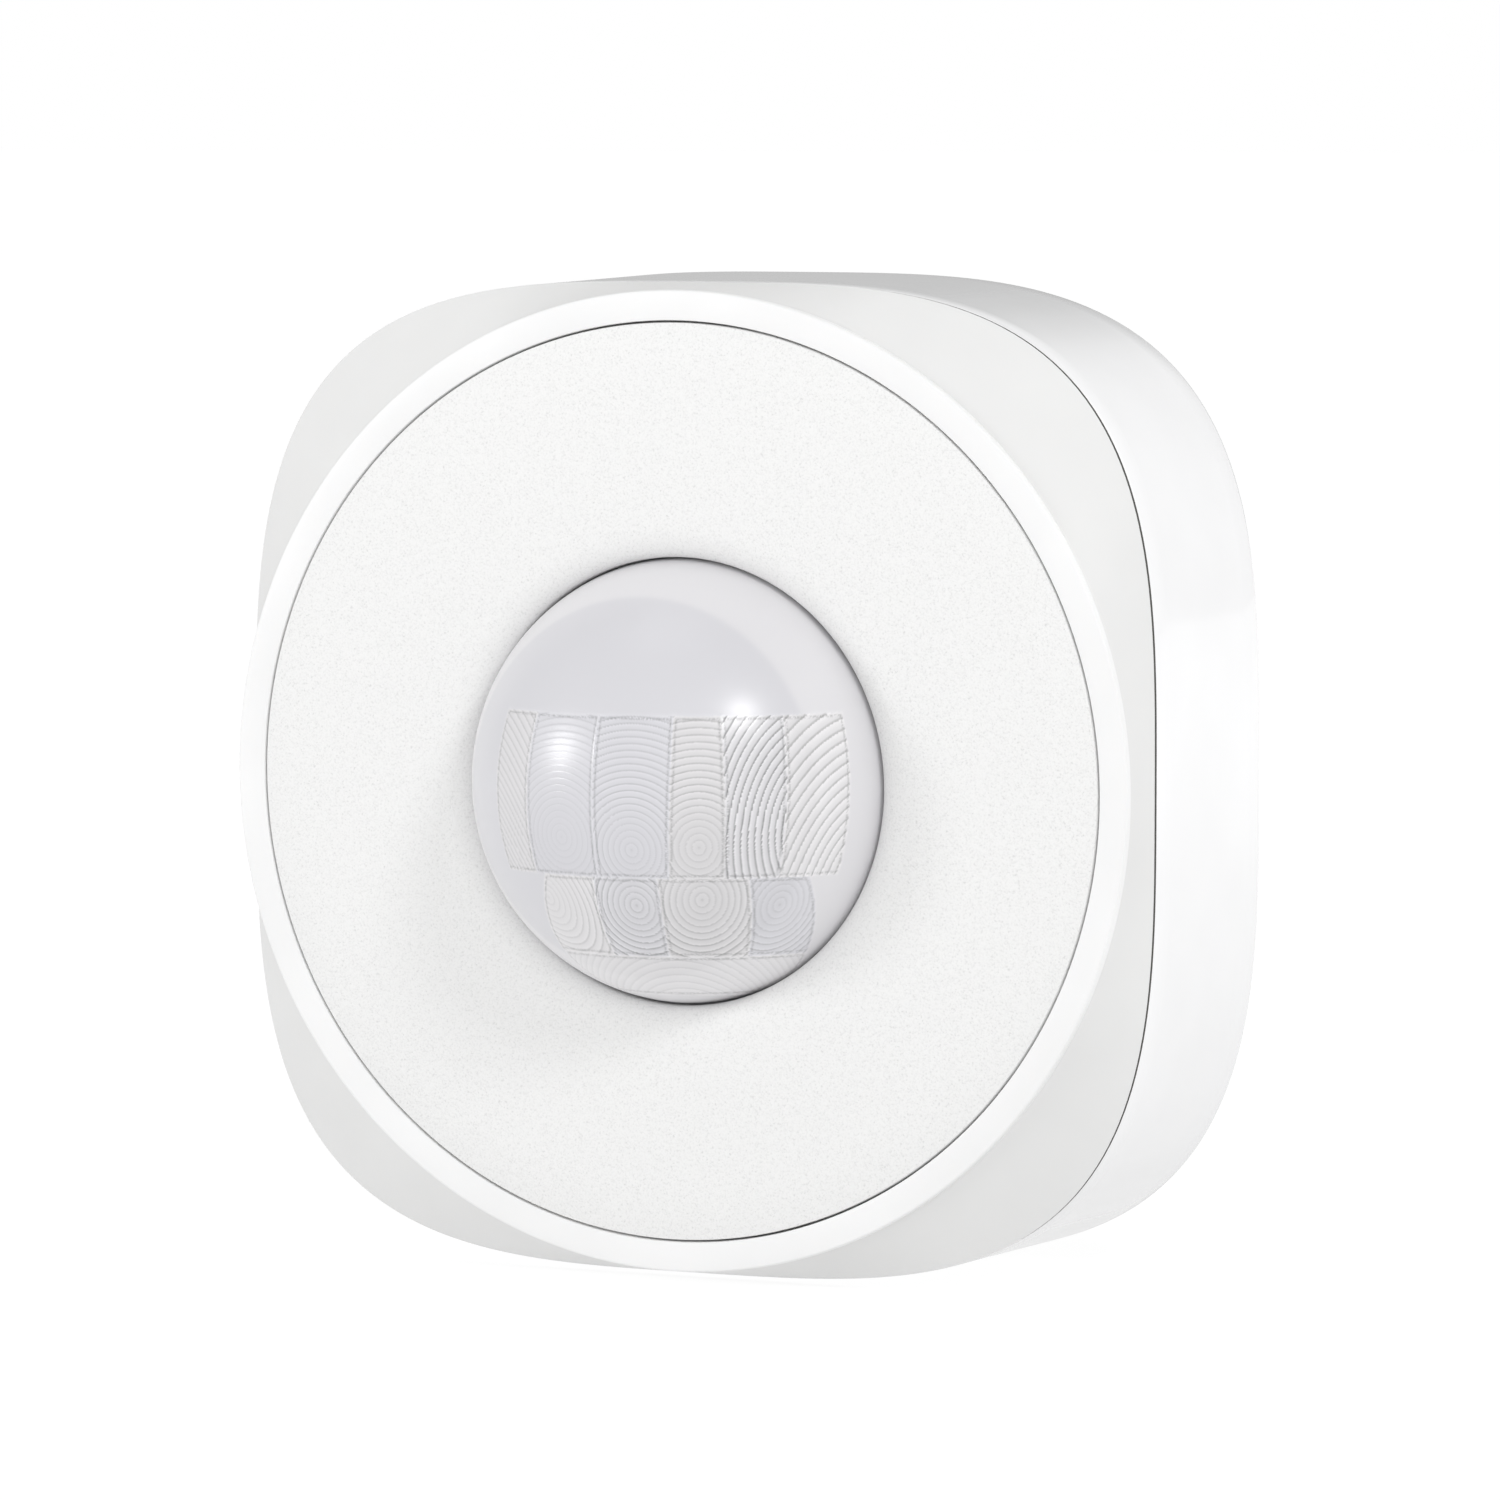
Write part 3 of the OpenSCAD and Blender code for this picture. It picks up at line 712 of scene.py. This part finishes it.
def view_axes():
    """Right, up and back directions of the camera."""
    back = Vector((math.sin(VIEW_AZIMUTH) * math.cos(VIEW_ELEVATION),
                   -math.cos(VIEW_AZIMUTH) * math.cos(VIEW_ELEVATION),
                   math.sin(VIEW_ELEVATION)))
    right = Vector((math.cos(VIEW_AZIMUTH), math.sin(VIEW_AZIMUTH), 0))
    return right, back.cross(right), back


def camera():
    right, up, back = view_axes()
    data = bpy.data.cameras.new("camera")
    data.lens = FOCAL_MM
    data.sensor_width = SENSOR_MM
    data.clip_start = 0.01
    data.clip_end = 50
    obj = bpy.data.objects.new("camera", data)
    spot = Vector((0, FRONT, 0)) + back * VIEW_DISTANCE + right * OBJECT_LEFT + up * OBJECT_LOW
    turn = Matrix((right, up, back)).transposed().to_4x4()
    obj.matrix_world = Matrix.Translation(spot) @ turn
    bpy.context.scene.collection.objects.link(obj)
    bpy.context.scene.camera = obj


def softbox(name, direction, distance, size, watts):
    """An area light in a direction of the camera's right, up and back axes, facing the lens."""
    right, up, back = view_axes()
    target = Vector((0, FRONT, 0))
    away = (right * direction[0] + up * direction[1] + back * direction[2]).normalized()
    data = bpy.data.lights.new(name, "AREA")
    data.shape = "DISK"
    data.size = size
    data.energy = watts
    obj = bpy.data.objects.new(name, data)
    obj.location = target + away * distance
    obj.rotation_euler = away.to_track_quat("Z", "Y").to_euler()
    bpy.context.scene.collection.objects.link(obj)


def lights():
    """Two small lights for the glints on the dome, and large ones that fill in."""
    softbox("lens_light_left", (-0.94, 0.205, 0.275), 0.6, 0.14, 0.62)
    softbox("lens_light_upper", (0.39, 0.545, 0.765), 0.6, 0.14, 0.82)
    softbox("front_fill", (-0.1, 0.35, 0.9), 1.1, 0.9, 0.55)
    softbox("right_fill", (1.0, 0.7, 0.0), 0.9, 0.5, 0.7)
    softbox("key", (-0.2, 1.0, 0.1), 1.0, 0.5, 0.3)


def world():
    """White to the camera; as light, dimmer overhead and straight behind the sensor."""
    made = bpy.data.worlds.new("studio")
    made.use_nodes = True
    tree = made.node_tree
    tree.nodes.clear()
    path = tree.nodes.new("ShaderNodeLightPath")
    seen = tree.nodes.new("ShaderNodeBackground")
    seen.inputs["Color"].default_value = (1, 1, 1, 1)
    seen.inputs["Strength"].default_value = 1.0
    lit = tree.nodes.new("ShaderNodeBackground")
    coords = tree.nodes.new("ShaderNodeTexCoord")
    split = tree.nodes.new("ShaderNodeSeparateXYZ")
    height = tree.nodes.new("ShaderNodeMapRange")
    height.inputs["From Min"].default_value = 0.02
    height.inputs["From Max"].default_value = 0.8
    height.inputs["To Min"].default_value = 1.0
    height.inputs["To Max"].default_value = 0.75
    tree.links.new(coords.outputs["Generated"], split.inputs["Vector"])
    tree.links.new(split.outputs["Z"], height.inputs["Value"])
    toward = tree.nodes.new("ShaderNodeVectorMath")
    toward.operation = "DOT_PRODUCT"
    toward.inputs[1].default_value = Vector((-0.42, 0.9, 0.1)).normalized()
    tree.links.new(coords.outputs["Generated"], toward.inputs[0])
    flag = tree.nodes.new("ShaderNodeMapRange")
    flag.interpolation_type = "SMOOTHSTEP"
    flag.inputs["From Min"].default_value = 0.84
    flag.inputs["From Max"].default_value = 0.97
    flag.inputs["To Min"].default_value = 1.0
    flag.inputs["To Max"].default_value = 0.66
    tree.links.new(toward.outputs["Value"], flag.inputs["Value"])
    strength = tree.nodes.new("ShaderNodeMath")
    strength.operation = "MULTIPLY"
    tree.links.new(height.outputs["Result"], strength.inputs[0])
    tree.links.new(flag.outputs["Result"], strength.inputs[1])
    tree.links.new(strength.outputs["Value"], lit.inputs["Strength"])
    mix = tree.nodes.new("ShaderNodeMixShader")
    out = tree.nodes.new("ShaderNodeOutputWorld")
    tree.links.new(path.outputs["Is Camera Ray"], mix.inputs["Fac"])
    tree.links.new(lit.outputs["Background"], mix.inputs[1])
    tree.links.new(seen.outputs["Background"], mix.inputs[2])
    tree.links.new(mix.outputs["Shader"], out.inputs["Surface"])
    bpy.context.scene.world = made


def floor():
    """White floor under the sensor, glowing nearly evenly to the camera, with a painted shadow close to it:
    its glow is dimmer there for reflected and bounced light.
    """
    reach = 12.0
    level = cad_box[0][2] - 0.02 * MM
    mesh = bpy.data.meshes.new("floor")
    corners = [(x * reach, y * reach, level) for x, y in ((-1, -1), (1, -1), (1, 1), (-1, 1))]
    mesh.from_pydata(corners, [], [(0, 1, 2, 3)])
    obj = bpy.data.objects.new("floor", mesh)
    bpy.context.scene.collection.objects.link(obj)
    n = Nodes("floor_white")
    n.shader.inputs["Base Color"].default_value = (0.2, 0.2, 0.2, 1)
    n.shader.inputs["Roughness"].default_value = 0.5
    n.shader.inputs["Specular IOR Level"].default_value = 0.0
    n.shader.inputs["Emission Color"].default_value = (1, 1, 1, 1)
    # Reflected and bounced rays see the glow drop close to the sensor, a painted shadow round it; camera
    # rays see nearly even white.
    near_painted_shadow = n.add("ShaderNodeMapRange")
    near_painted_shadow.inputs["To Min"].default_value = 0.68
    near_painted_shadow.inputs["To Max"].default_value = 0.86
    n.link(n.add("ShaderNodeLightPath").outputs["Is Camera Ray"], near_painted_shadow.inputs["Value"])
    away = n.add("ShaderNodeVectorMath")
    away.operation = "LENGTH"
    n.link(n.coords.outputs["Object"], away.inputs[0])
    light = n.add("ShaderNodeMapRange")
    light.inputs["From Min"].default_value = 0.05
    light.inputs["From Max"].default_value = 0.4
    light.inputs["To Max"].default_value = 0.88
    n.link(away.outputs["Value"], light.inputs["Value"])
    n.link(near_painted_shadow.outputs["Result"], light.inputs["To Min"])
    n.link(light.outputs["Result"], n.shader.inputs["Emission Strength"])
    obj.data.materials.append(n.material)


bpy.context.scene.view_settings.view_transform = "Standard"
camera()
world()
lights()
floor()
dress_cad_nodes()
front_shell()
face_disc()
seam_shadow_strip()
band()
lens()
